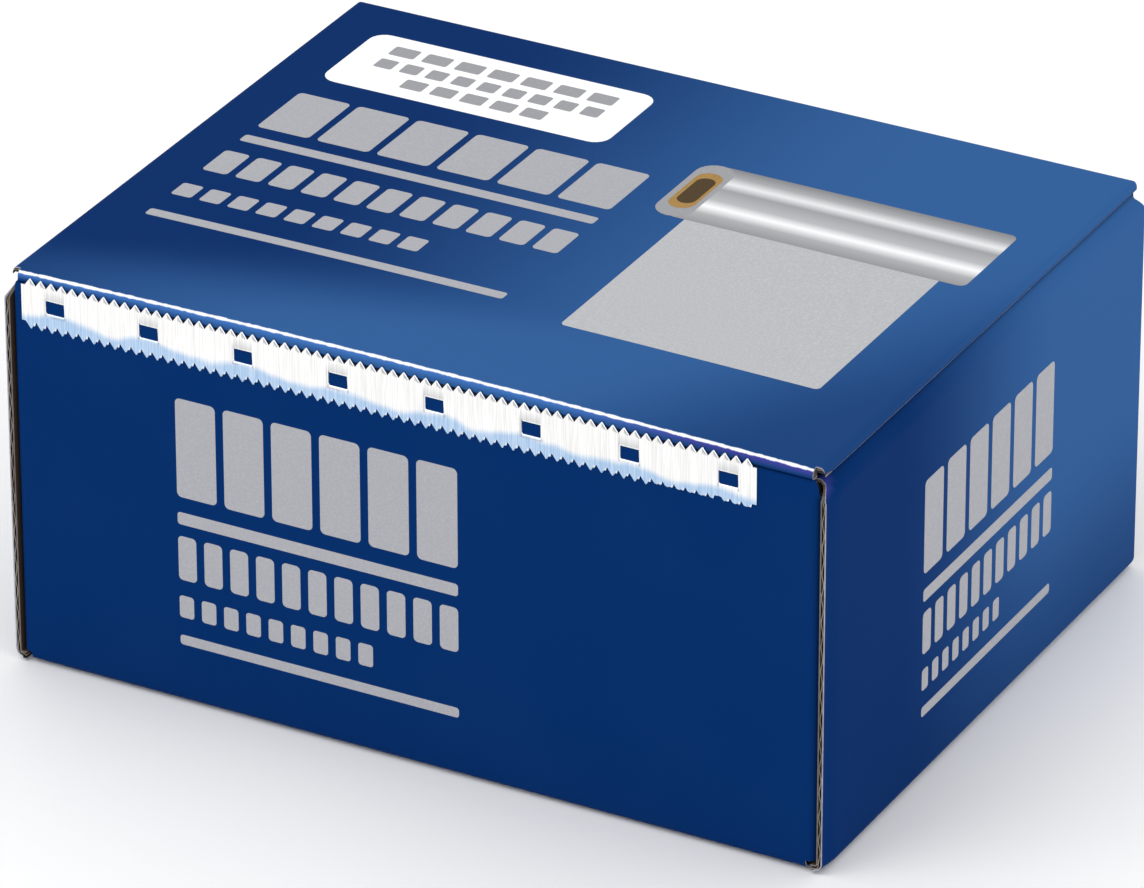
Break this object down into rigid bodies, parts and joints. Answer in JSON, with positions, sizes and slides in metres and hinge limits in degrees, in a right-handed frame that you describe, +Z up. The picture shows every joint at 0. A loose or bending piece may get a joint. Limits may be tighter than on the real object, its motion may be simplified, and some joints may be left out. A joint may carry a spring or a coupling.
{
  "type": "foil roll dispenser carton",
  "caption": "Corrugated mailer carton with a hinged tuck-in lid and a toothed metal tear strip on its front, holding rolls of narrow aluminium foil on card cores.",
  "frame": {"origin": "centre of the carton's underside", "axes": "+X along the carton's width, the front with the tear strip and the opening edge of the lid facing -Y, +Z up"},
  "size_m": [0.133, 0.1028, 0.064],
  "materials": {
    "printed_board": "fine corrugated board, printed dark blue outside with a semi-gloss varnish, plain kraft inside",
    "strip_steel": "bright tinned steel strip, fine grain across its length",
    "foil": "bright rolled aluminium foil",
    "core_card": "plain kraft card tube"
  },
  "bodies": {
    "tray": {"carton_tray": "printed_board", "cutter_strip": "strip_steel", "front_foil_roll": "foil", "rear_foil_roll": "foil", "front_roll_core": "core_card", "rear_roll_core": "core_card"},
    "lid": {"carton_lid": "printed_board"}
  },
  "joints": [
    {"name": "lid_hinge", "type": "hinge", "parent": "tray", "child": "lid", "pos_m": [0, 0.05125, 0.06265], "axis": [-1, 0, 0], "range_deg": [0, 180]}
  ]
}
